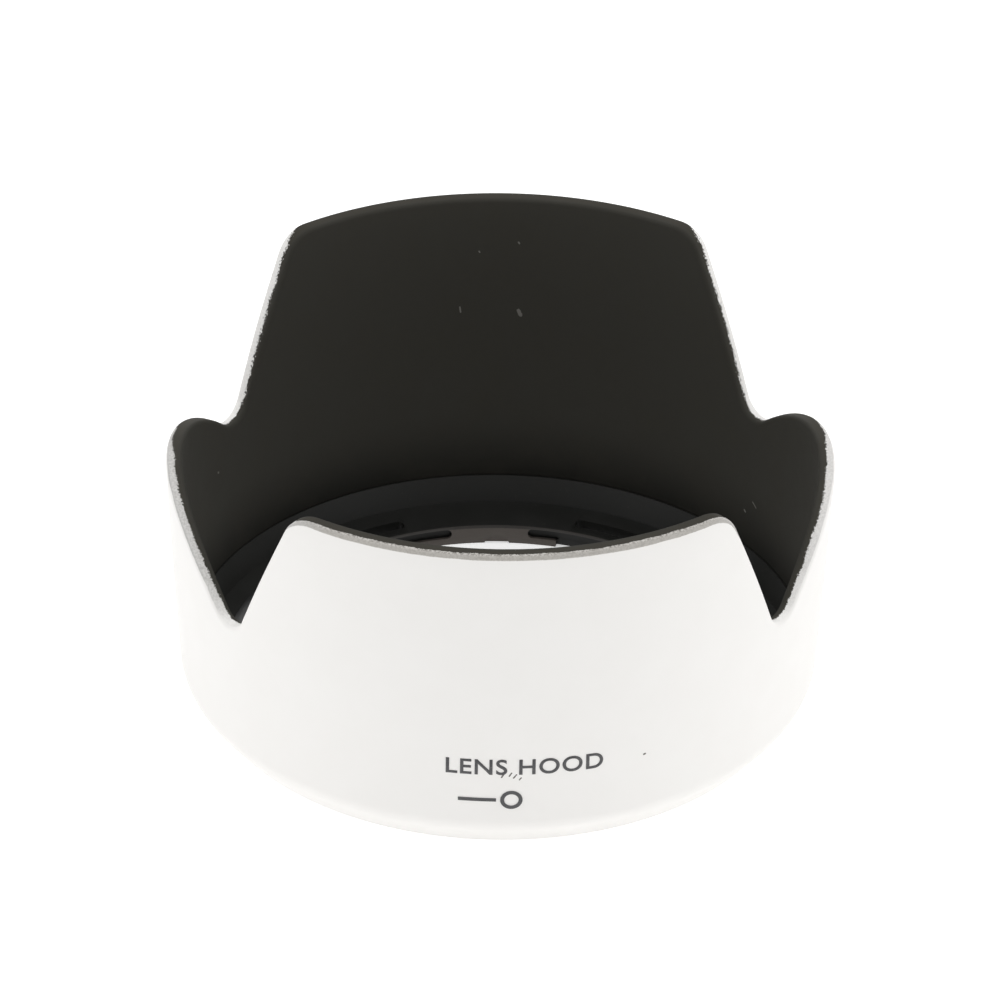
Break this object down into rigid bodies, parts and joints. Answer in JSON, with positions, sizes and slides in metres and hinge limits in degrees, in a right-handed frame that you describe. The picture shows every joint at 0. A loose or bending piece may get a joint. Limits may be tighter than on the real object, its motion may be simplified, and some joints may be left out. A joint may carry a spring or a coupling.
{
  "type": "lens hood",
  "caption": "Petal-shaped camera lens hood, white outside and matt black inside, with a bayonet ring at the rear and a printed lock mark.",
  "frame": {"origin": "centre of the hood's rear face, which rests on the table and faces the lens", "axes": "+Z along the optical axis towards the front of the hood, -Y towards the printed lock mark, +X to the right as the mark is read"},
  "size_m": [0.0628, 0.0635, 0.0351],
  "materials": {
    "white_paint": "satin white paint on a black moulding, bare matt black inside and rubbed silver-grey along the rim",
    "black_plastic": "semi-gloss bare black plastic",
    "grey_ink": "flat dark grey printing ink"
  },
  "bodies": {
    "root": {"petal_shell": "white_paint", "mount_ring": "black_plastic", "lock_mark": "grey_ink"}
  },
  "joints": []
}
